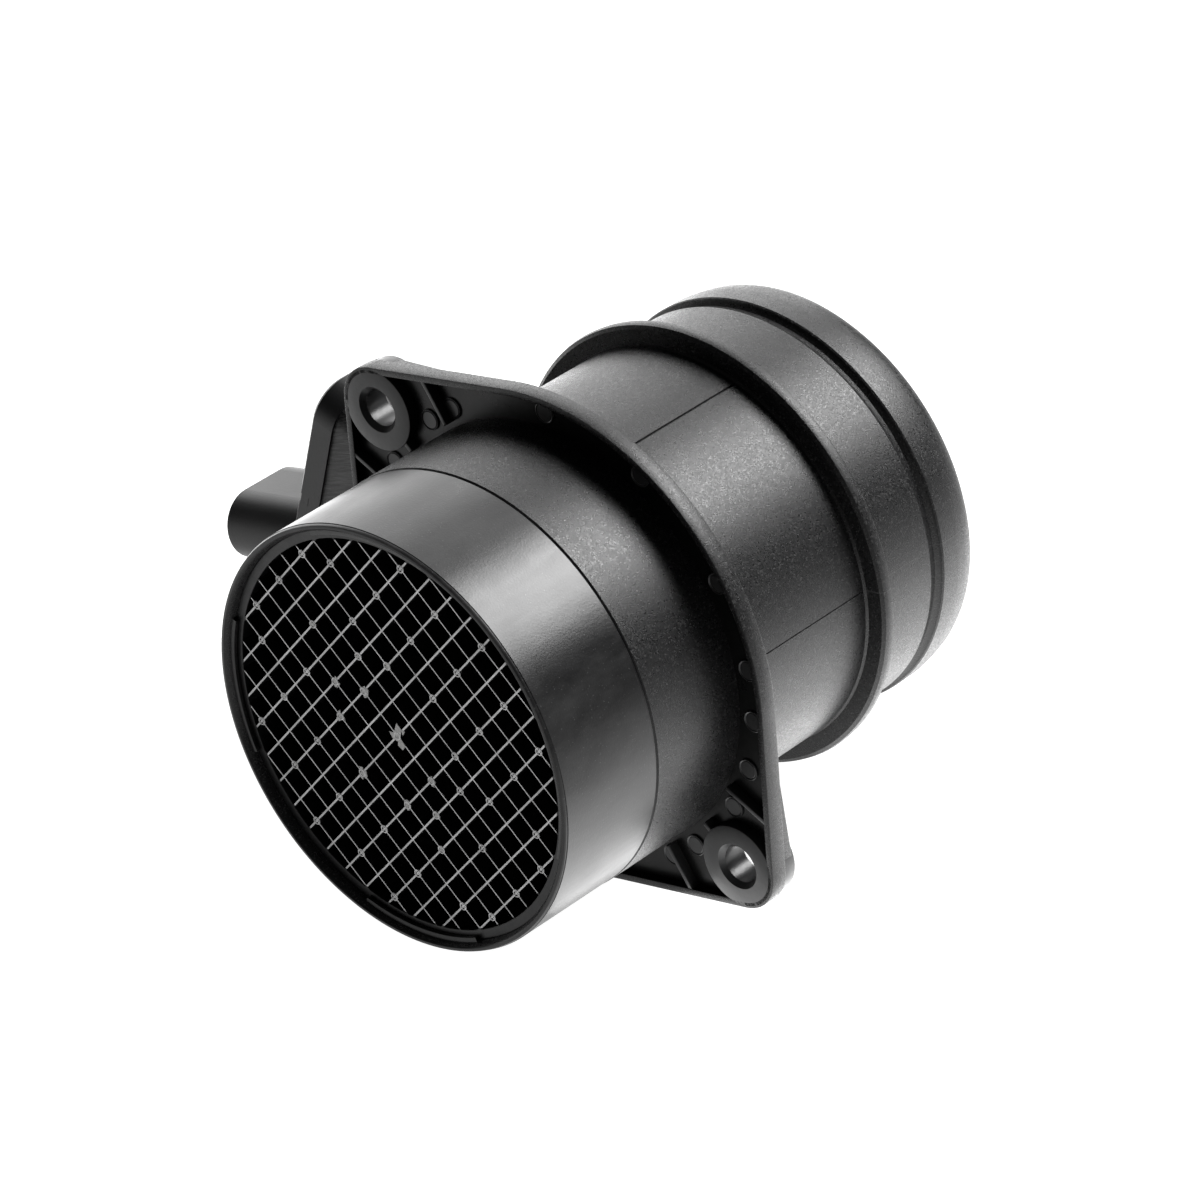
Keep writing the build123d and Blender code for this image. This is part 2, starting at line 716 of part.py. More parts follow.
with BuildPart() as hot_film_chip:
    with BuildSketch(side_plane.offset(board_bottom_level + carrier_thickness)) as film_outline:
        with Locations((tongue_middle_y, 0)):
            Rectangle(film_chip_side, film_chip_side)
    extrude(film_outline.sketch, amount=-film_chip_thickness)
hot_film_chip.part.label = "hot_film_chip"
export_step(hot_film_chip.part, "parts/hot_film_chip.step")

# ---- circuit board and what is soldered to it ----
with BuildPart() as hybrid_board:
    with BuildSketch(side_plane.offset(board_bottom_level)) as board_outline:
        with Locations(chamber_middle):
            board_shrink = 2 * (base_plate_clearance + board_margin)
            Rectangle(chamber_size[0] - board_shrink, chamber_size[1] - board_shrink)
    extrude(board_outline.sketch, amount=board_thickness)
hybrid_board.part.label = "hybrid_board"
export_step(hybrid_board.part, "parts/hybrid_board.step")

with BuildPart() as control_chip:
    with BuildSketch(side_plane.offset(board_top_level)) as chip_outline:
        with Locations(chamber_middle):
            Rectangle(chip_side, chip_side)
    extrude(chip_outline.sketch, amount=chip_height)
    chamfer(control_chip.faces().sort_by(Axis(origin=(0, 0, 0), direction=upward))[-1].edges(), 0.2)
control_chip.part.label = "control_chip"
export_step(control_chip.part, "parts/control_chip.step")

with BuildPart() as board_capacitors:
    with BuildSketch(side_plane.offset(board_top_level)) as capacitor_outlines:
        capacitor_row = chamber_middle[1] - chip_side - capacitor_length / 2
        with Locations((finger_middle_y, capacitor_row)):
            with GridLocations(capacitor_spacing, 1, 3, 1):
                Rectangle(capacitor_width, capacitor_length)
    extrude(capacitor_outlines.sketch, amount=capacitor_height)
board_capacitors.part.label = "board_capacitors"
export_step(board_capacitors.part, "parts/board_capacitors.step")

# ---- air temperature sensor ----
# A glass bead on two wires, hung in the window of the finger.
with BuildPart() as thermistor_leads:
    with BuildSketch(head_plane.offset(window_middle)) as lead_outlines:
        with Locations(*lead_places):
            Circle(thermistor_lead_diameter / 2)
    extrude(lead_outlines.sketch, amount=chamber_bottom - window_middle + thermistor_lead_tail)
thermistor_leads.part.label = "thermistor_leads"
export_step(thermistor_leads.part, "parts/thermistor_leads.step")

with BuildPart() as air_temperature_sensor:
    with Locations(head_plane.offset(window_middle)):
        with Locations((lead_level, window_middle_y)):
            Cylinder(thermistor_radius, 2.4 * thermistor_radius)
    chamfer(air_temperature_sensor.edges(), 0.4 * thermistor_radius)
    add(thermistor_leads.part, mode=Mode.SUBTRACT)
air_temperature_sensor.part.label = "air_temperature_sensor"
export_step(air_temperature_sensor.part, "parts/air_temperature_sensor.step")
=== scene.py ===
import math

import bmesh
import bpy
from mathutils import Matrix, Vector


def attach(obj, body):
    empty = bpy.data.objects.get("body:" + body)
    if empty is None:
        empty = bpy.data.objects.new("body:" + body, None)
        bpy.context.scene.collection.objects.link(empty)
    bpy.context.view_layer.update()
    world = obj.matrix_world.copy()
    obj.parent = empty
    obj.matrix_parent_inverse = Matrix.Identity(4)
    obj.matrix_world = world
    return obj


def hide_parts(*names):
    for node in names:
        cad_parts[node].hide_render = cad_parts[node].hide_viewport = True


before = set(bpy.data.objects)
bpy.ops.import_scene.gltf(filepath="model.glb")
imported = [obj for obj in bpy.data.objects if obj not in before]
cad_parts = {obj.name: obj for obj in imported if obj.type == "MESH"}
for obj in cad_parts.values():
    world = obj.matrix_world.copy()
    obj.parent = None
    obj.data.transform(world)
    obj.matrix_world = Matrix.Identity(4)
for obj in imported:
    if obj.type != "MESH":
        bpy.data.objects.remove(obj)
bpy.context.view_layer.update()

# Camera, floor and lamps. A long lens looks down on the inlet from its right side, and the
# sensor stands on a plain white light table between large soft lamps.
LOOKING = (-0.5535, 0.6199, -0.5561)
FLOOR_HEIGHT = -0.0472
camera = bpy.data.objects.new("camera", bpy.data.cameras.new("camera"))
bpy.context.scene.collection.objects.link(camera)
camera.data.lens = 195.44
camera.data.sensor_width = 36
camera.location = (0.6261, -0.6898, 0.6310)
camera.rotation_euler = Vector(LOOKING).to_track_quat("-Z", "Y").to_euler()
bpy.context.scene.camera = camera
bpy.context.scene.view_settings.view_transform = "Standard"

bpy.ops.mesh.primitive_plane_add(size=6, location=(0, 0, FLOOR_HEIGHT))
floor = bpy.context.object
floor.name = "floor"
bpy.ops.object.transform_apply(location=True)
white_sheet = bpy.data.materials.new("white_sheet")
white_sheet.use_nodes = True
sheet_shader = white_sheet.node_tree.nodes["Principled BSDF"]
sheet_shader.inputs["Base Color"].default_value = (0.3, 0.3, 0.3, 1)
sheet_shader.inputs["Roughness"].default_value = 0.85
sheet_shader.inputs["Emission Color"].default_value = (1, 1, 1, 1)
sheet_shader.inputs["Emission Strength"].default_value = 1.0
floor.data.materials.append(white_sheet)

studio = bpy.data.worlds.new("studio")
bpy.context.scene.world = studio
studio.use_nodes = True
studio.node_tree.nodes["Background"].inputs["Color"].default_value = (1, 1, 1, 1)
studio.node_tree.nodes["Background"].inputs["Strength"].default_value = 0.06

for name, place, aim, width, height, watts in (
    ("back_softbox", (0.345, 0.805, 0.955), (0, 0, 0), 0.8, 0.55, 43),
    ("left_screen", (-1.0, 0.75, 0.35), (0, 0, 0), 1.2, 0.9, 11.5),
    ("ceiling_screen", (-0.52, 0.8, 0.87), (0, 0, 0), 0.7, 0.7, 4.6),
    ("table_glow", (0.073, 0.08, -0.0465), (0.073, 0.08, 1), 0.095, 0.2, 0.165),
    ("far_glow", (0.17, 0.11, -0.0467), (0.17, 0.11, 1), 0.12, 0.34, 0.05),
    ("left_glow", (-0.25, 0.16, -0.0467), (-0.25, 0.16, 1), 0.22, 0.3, 0.45),
):
    lamp = bpy.data.objects.new(name, bpy.data.lights.new(name, "AREA"))
    bpy.context.scene.collection.objects.link(lamp)
    lamp.data.shape = "RECTANGLE"
    lamp.data.size = width
    lamp.data.size_y = height
    lamp.data.energy = watts
    lamp.location = place
    lamp.rotation_euler = (Vector(aim) - Vector(place)).to_track_quat("-Z", "Y").to_euler()

# Tube wall. The measuring tube is one moulding of black glass-filled plastic; its wall is
# turned here ring by ring, satin at the inlet and finely grained from there on. Sizes here
# and below are millimetres: a radius or an angle round the tube, and a station along it.
TUBE_FACETS = 256
SATIN_END = -18.9
SATIN_FROM_RADIUS = 38.7
SEAM_ANGLE = 11.5
SEAM_HALF_WIDTH = 0.10
TUBE_RINGS = [
    # the rounded lip of the inlet
    (38.4, -40.8), (38.9, -41.8), (39.15, -42.0), (39.5, -42.0), (39.72, -41.9), (39.86, -41.6),
    (39.88, -41.35), (40.0, -41.2),
    # the spigot, a fine groove at its end, and the wall as far as the flange
    (40.0, -19.25), (39.84, -19.05), (39.95, -18.85), (40.12, -18.7), (40.15, 0.0), (40.15, 2.5),
    # the waist behind the flange, and the bead of the collar
    (38.6, 2.6), (38.5, 37.3), (38.8, 37.8), (41.6, 37.9), (42.25, 38.3), (42.45, 39.0),
    (42.3, 40.3), (42.0, 40.6), (38.95, 40.9), (38.75, 41.2),
    # the hose seat, its groove and the rounded ring at the outlet
    (38.75, 54.8), (38.6, 55.0), (38.2, 55.8), (38.15, 56.6), (38.7, 57.2), (39.2, 57.4),
    (39.4, 57.7), (39.35, 61.5), (39.0, 63.9), (38.7, 65.2), (38.2, 66.3), (37.5, 67.0),
    (36.8, 67.3), (36.3, 67.2), (36.0, 66.8),
    # the duct, and the shoulder that the straightener rests on
    (36.0, -29.2), (36.3, -29.5), (38.2, -29.5), (38.4, -29.7),
]
# Grooves where the parts of the mould met: angle, middle, length, width and depth.
SEAM_RADIUS = 38.6
SEAM_GROOVES = ((77.7, 22.9, 27.8, 0.5, 0.6), (SEAM_ANGLE, 20.0, 34.4, 0.22, 0.3))


class Socket:
    """An output of a material's node, which can be used in sums."""

    def __init__(self, output):
        self.output = output

    def node(self, kind, settings, inputs, result=0):
        tree = self.output.id_data
        made = tree.nodes.new("ShaderNode" + kind)
        for name, value in settings.items():
            setattr(made, name, value)
        for name, value in inputs.items():
            if isinstance(value, Socket):
                tree.links.new(value.output, made.inputs[name])
            else:
                made.inputs[name].default_value = value
        return Socket(made.outputs[result])

    def sum_with(self, operation, first, second):
        return self.node("Math", {"operation": operation}, {0: first, 1: second})

    def __add__(self, other):
        return self.sum_with("ADD", self, other)

    def __radd__(self, other):
        return self.sum_with("ADD", other, self)

    def __sub__(self, other):
        return self.sum_with("SUBTRACT", self, other)

    def __rsub__(self, other):
        return self.sum_with("SUBTRACT", other, self)

    def __mul__(self, other):
        return self.sum_with("MULTIPLY", self, other)

    def __rmul__(self, other):
        return self.sum_with("MULTIPLY", other, self)

    def above(self, edge):
        return self.sum_with("GREATER_THAN", self, edge)

    def blend(self, low, high):
        """A colour between two others, each a tuple or a socket."""
        low, high = ((*colour, 1) if isinstance(colour, tuple) else colour for colour in (low, high))
        return self.node("Mix", {"data_type": "RGBA"}, {0: self, 6: low, 7: high}, 2)


def finish(name):
    """A new material, its Principled node and the place on the object as a socket."""
    made = bpy.data.materials.new(name)
    made.use_nodes = True
    shader = made.node_tree.nodes["Principled BSDF"]
    shader.inputs["Specular IOR Level"].default_value = 0.25
    place = Socket(made.node_tree.nodes.new("ShaderNodeTexCoord").outputs["Object"])
    return made, shader, place


def feed(shader, name, value):
    """Link a socket into the shader, or set a number or colour on it."""
    if isinstance(value, Socket):
        shader.id_data.links.new(value.output, shader.inputs[name])
    else:
        shader.inputs[name].default_value = value


def noise(place, per_metre, detail=2.0, roughness=0.5):
    sizes = {"Vector": place, "Scale": per_metre, "Detail": detail, "Roughness": roughness}
    return place.node("TexNoise", {}, sizes)


def bumped(place, height, depth):
    return place.node("Bump", {}, {"Height": height, "Distance": depth})


def seam_line(place, angle, half_width):
    """A thin line along the tube at an angle round it, from the flange back."""
    x, y, z = (place.node("SeparateXYZ", {}, {"Vector": place}, axis) for axis in range(3))
    turn = math.radians(angle)
    across = x * (1000 * math.sin(turn)) - z * (1000 * math.cos(turn))
    side = x * math.cos(turn) + z * math.sin(turn)
    off = across.node("Math", {"operation": "ABSOLUTE"}, {0: across})
    return (1 - off.above(half_width)) * side.above(0) * y.above(0)


# Grained plastic: fine pits, and lighter specks painted into its colour as glints, with a pale line
# where two parts of the mould met.
grained_black, shader, place = finish("grained_black")
grain = noise(place, 5600, 1.0, 0.7)
pits = place.node("TexVoronoi", {}, {"Vector": place, "Scale": 4600.0}, 1)
cloud = noise(place, 60, 3.0)
pale_line = seam_line(place, SEAM_ANGLE, SEAM_HALF_WIDTH)
# Specks of the grain are painted lighter in the base colour as glints of light.
glint_specks = pits.above(0.80) * 0.5
tint = glint_specks.blend((0.005, 0.005, 0.0052), (0.04, 0.04, 0.04))
feed(shader, "Base Color", pale_line.blend(tint, (0.022, 0.022, 0.022)))
feed(shader, "Roughness", 0.20 + cloud * 0.03 + pits * 0.30)
feed(shader, "Normal", bumped(place, grain * 0.8 + pits * 0.3 + pale_line * 3, 0.00005))

# Satin plastic of the inlet band: polished steel mould, faint drag marks along the tube and a
# thin uneven film left by handling.
satin_black, shader, place = finish("satin_black")
along = place.node("Mapping", {}, {"Vector": place, "Scale": (1.0, 0.08, 1.0)})
drag = noise(along, 900, 2.0)
haze = noise(place, 38, 5.0, 0.65)
wiped = {"Vector": place, "Scale": (1.0, 0.3, 0.6), "Rotation": (0.4, 0.3, 0.2)}
smear = noise(place.node("Mapping", {}, wiped), 110, 5.0, 0.7)
film = (smear - 0.45) * 0.6
dust = noise(place, 3600, 0.0).above(0.80)
fine_bumps = noise(place, 2600, 2.0) * 1.2
feed(shader, "Base Color", (film + dust * 0.4).blend((0.003, 0.003, 0.0032), (0.08, 0.08, 0.08)))
feed(shader, "Roughness", 0.10 + haze * 0.24 + smear * 0.14 + drag * 0.05)
feed(shader, "Normal", bumped(place, drag * 0.5 + fine_bumps + smear * 3, 0.000012))


def ridden(piece, name):
    """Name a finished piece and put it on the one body."""
    piece.name = name
    piece.data.name = name
    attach(piece, "root")


def polar(radius, angle, station=0.0):
    """A place in metres from a radius, an angle round the tube and a station along it."""
    turn = math.radians(angle)
    return Vector((radius * math.cos(turn), station, radius * math.sin(turn))) / 1000


def facing_out():
    """Turn all faces of the piece in edit mode outwards."""
    bpy.ops.mesh.select_all(action="SELECT")
    bpy.ops.mesh.normals_make_consistent(inside=False)


def cut_away(piece, cutter, operation):
    """Cut a piece with another, which is then thrown away."""
    cut = piece.modifiers.new("cut", "BOOLEAN")
    cut.operation = operation
    cut.object = cutter
    bpy.ops.object.select_all(action="DESELECT")
    piece.select_set(True)
    bpy.context.view_layer.objects.active = piece
    bpy.ops.object.modifier_apply(modifier="cut")
    bpy.data.objects.remove(cutter)


bpy.ops.object.select_all(action="DESELECT")
bpy.ops.mesh.primitive_circle_add(
    vertices=TUBE_FACETS,
    radius=TUBE_RINGS[0][0] / 1000,
    location=(0, TUBE_RINGS[0][1] / 1000, 0),
    rotation=(math.pi / 2, 0, 0),
)
tube_wall = bpy.context.object
bpy.ops.object.transform_apply(location=True, rotation=True)
bpy.ops.object.mode_set(mode="EDIT")
bpy.ops.mesh.select_all(action="SELECT")
for (radius, station), (next_radius, next_station) in zip(TUBE_RINGS, TUBE_RINGS[1:] + TUBE_RINGS[:1]):
    bpy.ops.mesh.extrude_edges_move(
        TRANSFORM_OT_translate={"value": (0, (next_station - station) / 1000, 0)}
    )
    bpy.ops.transform.resize(
        value=(next_radius / radius, 1, next_radius / radius),
        center_override=(0, next_station / 1000, 0),
    )
bpy.ops.mesh.select_all(action="SELECT")
bpy.ops.mesh.remove_doubles(threshold=0.00001)
facing_out()
bpy.ops.object.mode_set(mode="OBJECT")
for angle, middle, length, width, depth in SEAM_GROOVES:
    bpy.ops.object.select_all(action="DESELECT")
    bpy.ops.mesh.primitive_cube_add(
        size=1,
        location=polar(SEAM_RADIUS, angle, middle),
        rotation=(0, -math.radians(angle), 0),
        scale=(2 * depth / 1000, length / 1000, width / 1000),
    )
    seam_cutter = bpy.context.object
    bpy.ops.object.transform_apply(location=True, rotation=True, scale=True)
    cut_away(tube_wall, seam_cutter, "DIFFERENCE")
tube_wall.data.materials.append(grained_black)
tube_wall.data.materials.append(satin_black)
for face in tube_wall.data.polygons:
    outside = math.hypot(face.center.x, face.center.z) > SATIN_FROM_RADIUS / 1000
    if face.center.y < SATIN_END / 1000 and outside:
        face.material_index = 1
bpy.ops.object.shade_smooth_by_angle(angle=math.radians(28))
ridden(tube_wall, "tube_wall")
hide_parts("measuring_tube")

# Flange. The plate is moulded on in one with the tube: two ears for the bolts and a raised rim
# round a shallow pocket, which keeps the plastic thin.
FLANGE_RADIUS = 47.0
EAR_RADIUS = 8.1
PLATE_THICKNESS = 3.5
BOLT_CIRCLE = 50.7
BOLT_ANGLES = (145.4, 325.4)
RIM_WALL = 1.3
POCKET_DEPTH = 2.0
PLATE_ROUNDING = 0.22
PLATE_HOLE = 38.5
BOSS_HOLE = 6.9


def joined(pieces):
    """One piece made of several, which goes by the last one's place in the list."""
    bpy.ops.object.select_all(action="DESELECT")
    for piece in pieces:
        piece.select_set(True)
    bpy.context.view_layer.objects.active = pieces[-1]
    bpy.ops.object.join()
    return pieces[-1]


def joined_cylinders(discs, depth):
    """One piece made of cylinders along the tube, each given by its middle and radius in metres."""
    made = []
    for middle, radius in discs:
        facets = 192 if radius > 0.01 else 64
        bpy.ops.mesh.primitive_cylinder_add(
            vertices=facets, radius=radius, depth=depth, location=middle, rotation=(math.pi / 2, 0, 0)
        )
        made.append(bpy.context.object)
    whole = joined(made)
    bpy.ops.object.transform_apply(location=True, rotation=True)
    return whole


def eared_plate(round_radius, ear_radius, middle, depth):
    """A round disc and two smaller ones on the bolts, all of one depth along the tube."""
    ears = [(polar(BOLT_CIRCLE, angle, middle), ear_radius / 1000) for angle in BOLT_ANGLES]
    return joined_cylinders([((0, middle / 1000, 0), round_radius / 1000)] + ears, depth / 1000)


def choose(piece, test, kind="VERT"):
    """Select the vertices, edges or faces of a piece in edit mode that pass a test."""
    bpy.ops.mesh.select_mode(type=kind)
    bpy.ops.mesh.select_all(action="DESELECT")
    shape = bmesh.from_edit_mesh(piece.data)
    if kind == "VERT":
        for corner in shape.verts:
            corner.select_set(test(corner.co))
    elif kind == "EDGE":
        for edge in shape.edges:
            edge.select_set(all(test(corner.co) for corner in edge.verts))
    else:
        for face in shape.faces:
            face.select_set(test(face))
    shape.select_flush_mode()
    bmesh.update_edit_mesh(piece.data)


def faces_front(face):
    """Whether a face looks towards the inlet."""
    return face.normal.y < -0.9


flange_plate = eared_plate(FLANGE_RADIUS, EAR_RADIUS, PLATE_THICKNESS / 2, PLATE_THICKNESS)
bpy.ops.object.mode_set(mode="EDIT")
bpy.ops.mesh.select_all(action="SELECT")
bpy.ops.mesh.convex_hull()
bpy.ops.mesh.select_all(action="SELECT")
bpy.ops.mesh.dissolve_limited(angle_limit=math.radians(0.2))
choose(flange_plate, faces_front, "FACE")
bpy.ops.mesh.inset(thickness=RIM_WALL / 1000, depth=0)
bpy.ops.mesh.extrude_region_move(TRANSFORM_OT_translate={"value": (0, POCKET_DEPTH / 1000, 0)})
plate_middle = PLATE_THICKNESS / 2000
choose(flange_plate, lambda at: abs(at.y - plate_middle) > plate_middle - 0.00005, "EDGE")
bpy.ops.mesh.bevel(offset=PLATE_ROUNDING / 1000, segments=2, affect="EDGES")
bpy.ops.object.mode_set(mode="OBJECT")
cut_away(flange_plate, eared_plate(PLATE_HOLE, BOSS_HOLE, middle=2.0, depth=20), "DIFFERENCE")
# The pocket's floor and walls are smooth, and their colour is made darker than the grained plastic as painted
# shade in the recess.
pocket_black_painted_shade, shader, place = finish("pocket_black_painted_shade")
flow = noise(place, 240, 3.0, 0.6)
shader.inputs["Specular IOR Level"].default_value = 0.15
feed(shader, "Base Color", (0.002, 0.002, 0.002, 1))
feed(shader, "Roughness", 0.2 + flow * 0.2)
flange_plate.data.materials.append(grained_black)
flange_plate.data.materials.append(pocket_black_painted_shade)
for face in flange_plate.data.polygons:
    deepest = max(flange_plate.data.vertices[corner].co.y for corner in face.vertices)
    if face.center.y > 0.0005 and deepest < (POCKET_DEPTH + 0.1) / 1000:
        face.material_index = 1
bpy.ops.object.shade_smooth_by_angle(angle=math.radians(30))
ridden(flange_plate, "flange_plate")
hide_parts("measuring_tube")

# Bolt bosses. Thick rings of the same moulding take the squeeze of the bolts: flush with the
# rim in front, they run on behind the plate, slightly tapered. Their faces are rubbed smooth,
# and their colour is painted lighter than the plastic round them as a sheen of light.
BOLT_HOLE = 3.45
BOLT_MOUTH = 4.35
MOUTH_DEPTH = 0.9
BOLT_BOSS = 7.8
BOSS_LENGTH = 6.5
BOSS_TAPER = 0.975
EDGE_ROUNDING = 0.2
HALF_TURN = 180
rubbed_black_painted_sheen, shader, place = finish("rubbed_black_painted_sheen")
brushed = noise(place, 700, 3.0, 0.6)
# The colour is painted lighter than the moulding's own black, as a painted sheen of reflected light.
feed(shader, "Base Color", (0.014, 0.014, 0.0143, 1))
feed(shader, "Roughness", 0.26 + brushed * 0.16)
feed(shader, "Normal", bumped(place, brushed, 0.00003))

bpy.ops.object.select_all(action="DESELECT")
bpy.ops.mesh.primitive_cylinder_add(
    vertices=96,
    radius=BOLT_BOSS / 1000,
    depth=BOSS_LENGTH / 1000,
    location=polar(BOLT_CIRCLE, BOLT_ANGLES[0], BOSS_LENGTH / 2),
    rotation=(math.pi / 2, 0, 0),
)
bolt_boss = bpy.context.object
bpy.ops.object.transform_apply(location=True, rotation=True)
bolt_centre = polar(BOLT_CIRCLE, BOLT_ANGLES[0])


def turned_copy(piece, angle):
    """A copy with its own mesh, turned about the axis of the tube."""
    copy = piece.copy()
    copy.data = piece.data.copy()
    bpy.context.scene.collection.objects.link(copy)
    copy.data.transform(Matrix.Rotation(-math.radians(angle), 4, "Y"))
    return copy


def from_bolt(at):
    """The distance from the bolt's axis, in millimetres."""
    return math.hypot(at.x - bolt_centre.x, at.z - bolt_centre.z) * 1000


def on_boss_rim(at):
    """Whether a place is on the outer edge of the boss, in front or behind."""
    off_middle = abs(at.y * 1000 - BOSS_LENGTH / 2)
    return off_middle > BOSS_LENGTH / 2 - 0.05 and from_bolt(at) > BOLT_BOSS - 0.8


bpy.ops.object.mode_set(mode="EDIT")
for facing in (-1, 1):
    choose(bolt_boss, lambda face: face.normal.y * facing > 0.9, "FACE")
    bpy.ops.mesh.inset(thickness=(BOLT_BOSS - BOLT_MOUTH) / 1000, depth=0)
    bpy.ops.mesh.inset(thickness=(BOLT_MOUTH - BOLT_HOLE) / 1000, depth=-MOUTH_DEPTH / 1000)
    bpy.ops.mesh.delete(type="FACE")
choose(bolt_boss, lambda at: abs(from_bolt(at) - BOLT_HOLE) < 0.05, "EDGE")
bpy.ops.mesh.bridge_edge_loops()
choose(bolt_boss, lambda at: at.y > 0.001 and on_boss_rim(at))
bpy.ops.transform.resize(
    value=(BOSS_TAPER, 1, BOSS_TAPER),
    center_override=(bolt_centre.x, BOSS_LENGTH / 1000, bolt_centre.z),
)
choose(bolt_boss, on_boss_rim, "EDGE")
bpy.ops.mesh.bevel(offset=EDGE_ROUNDING / 1000, segments=2, affect="EDGES")
facing_out()
bpy.ops.object.mode_set(mode="OBJECT")
bolt_boss.data.materials.append(rubbed_black_painted_sheen)
bpy.ops.object.shade_smooth_by_angle(angle=math.radians(32))
for ear, part in ((2, turned_copy(bolt_boss, HALF_TURN)), (1, bolt_boss)):
    ridden(part, f"bolt_boss_{ear}")
    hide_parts("measuring_tube")

# Ribs of the pocket. Three thin ribs at each ear point at the tube and tie the bolt boss to it.
# They stand on the pocket's floor, a hair lower than the rim. Each is given by its swing from
# the bolt and the radii it runs between.
RIB_SPANS = {-16.8: (41.2, 50.7), 0.0: (41.2, 43.6), 15.0: (41.2, 50.7)}
RIB_HEIGHT = 2.0
RIB_THICKNESS = 1.0
RIB_DROP = 0.15
for number, (spread, (start, end)) in enumerate(RIB_SPANS.items()):
    angle = BOLT_ANGLES[0] + spread
    bpy.ops.object.select_all(action="DESELECT")
    bpy.ops.mesh.primitive_cube_add(
        size=1,
        location=polar((start + end) / 2, angle, RIB_DROP + RIB_HEIGHT / 2),
        rotation=(0, -math.radians(angle), 0),
        scale=((end - start) / 1000, RIB_HEIGHT / 1000, RIB_THICKNESS / 1000),
    )
    rib = bpy.context.object
    bpy.ops.object.transform_apply(location=True, rotation=True, scale=True)
    bpy.ops.object.mode_set(mode="EDIT")
    choose(rib, lambda at: at.y < 0.001, "EDGE")
    bpy.ops.mesh.bevel(offset=EDGE_ROUNDING / 1000, segments=2, affect="EDGES")
    bpy.ops.object.mode_set(mode="OBJECT")
    # The ribs take the rubbed plastic, whose colour is painted lighter as a sheen of light.
    rib.data.materials.append(rubbed_black_painted_sheen)
    bpy.ops.object.shade_smooth_by_angle(angle=math.radians(35))
    for ear, part in ((2, turned_copy(rib, HALF_TURN)), (1, rib)):
        ridden(part, f"pocket_rib_{ear}_{number + 1}")
        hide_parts("measuring_tube")

# Ejector marks. The pins that push the moulding out of its mould leave round, slightly raised
# pads with a shallow ring in them on the floor of the pocket, at the same angles on both halves.
MARK_ANGLES = (135.3, 126.1, 95.4, 66.1, 36.3, 14.8, 1.7, -12.1, -25.0)
MARK_CIRCLE = 43.35
MARK_RADIUS = 2.0
MARK_HEIGHT = 0.3
# Width and rise of each step from the edge of a pad inwards.
MARK_STEPS = ((0.12, 0.05), (0.22, -0.14), (0.12, 0.08))
bpy.ops.object.select_all(action="DESELECT")
bpy.ops.mesh.primitive_cylinder_add(
    vertices=40,
    radius=MARK_RADIUS / 1000,
    depth=2 * MARK_HEIGHT / 1000,
    location=polar(MARK_CIRCLE, 0, POCKET_DEPTH),
    rotation=(math.pi / 2, 0, 0),
)
ejector_mark = bpy.context.object
bpy.ops.object.transform_apply(location=True, rotation=True)
bpy.ops.object.mode_set(mode="EDIT")
choose(ejector_mark, faces_front, "FACE")
for width, rise in MARK_STEPS:
    bpy.ops.mesh.inset(thickness=width / 1000, depth=rise / 1000)
bpy.ops.object.mode_set(mode="OBJECT")
# The pads take the rubbed plastic, whose colour is painted lighter as a sheen of light.
ejector_mark.data.materials.append(rubbed_black_painted_sheen)
bpy.ops.object.shade_smooth_by_angle(angle=math.radians(30))
for side, turn in (("a", 0), ("b", HALF_TURN)):
    for number, angle in enumerate(MARK_ANGLES):
        mark = turned_copy(ejector_mark, angle + turn)
        ridden(mark, f"ejector_mark_{side}{number + 1}")
        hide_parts("measuring_tube")
bpy.data.objects.remove(ejector_mark)

# Gussets. Behind the plate, a tapered web along each straight edge of an ear runs up to the
# back of its bolt boss, moulded in one with both.
GUSSET_LENGTH = 22.0
GUSSET_HEIGHT = 3.1
GUSSET_THICKNESS = 1.6
GUSSET_OFFSET = 6.6
GUSSET_STATION = 4.75
GUSSET_FALL = 2.6
edge_swing = math.degrees(math.acos((FLANGE_RADIUS - EAR_RADIUS) / BOLT_CIRCLE))
for side, hand in (("a", -1), ("b", 1)):
    outward = polar(1000, BOLT_ANGLES[0] + hand * edge_swing)
    along = outward.cross(Vector((0, 1, 0))) * hand
    seat = bolt_centre + outward * (GUSSET_OFFSET / 1000)
    bpy.ops.object.select_all(action="DESELECT")
    bpy.ops.mesh.primitive_cube_add(size=1)
    gusset = bpy.context.object
    gusset.matrix_world = (
        Matrix.Translation(seat + along * (GUSSET_LENGTH / 2000) + Vector((0, GUSSET_STATION / 1000, 0)))
        @ Matrix((along, Vector((0, 1, 0)), outward)).transposed().to_4x4()
        @ Matrix.Diagonal((GUSSET_LENGTH / 1000, GUSSET_HEIGHT / 1000, GUSSET_THICKNESS / 1000, 1))
    )
    bpy.ops.object.transform_apply(location=True, rotation=True, scale=True)
    bpy.ops.object.mode_set(mode="EDIT")
    choose(gusset, lambda at: at.y > GUSSET_STATION / 1000 and (at - seat).dot(along) > 0.015)
    bpy.ops.transform.translate(value=(0, -GUSSET_FALL / 1000, 0))
    bpy.ops.mesh.select_mode(type="EDGE")
    facing_out()
    bpy.ops.mesh.bevel(offset=EDGE_ROUNDING / 1000, segments=2, affect="EDGES")
    bpy.ops.object.mode_set(mode="OBJECT")
    gusset.data.materials.append(grained_black)
    bpy.ops.object.shade_smooth_by_angle(angle=math.radians(35))
    for ear, part in ((2, turned_copy(gusset, HALF_TURN)), (1, gusset)):
        ridden(part, f"gusset_{ear}_{side}")
        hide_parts("measuring_tube")

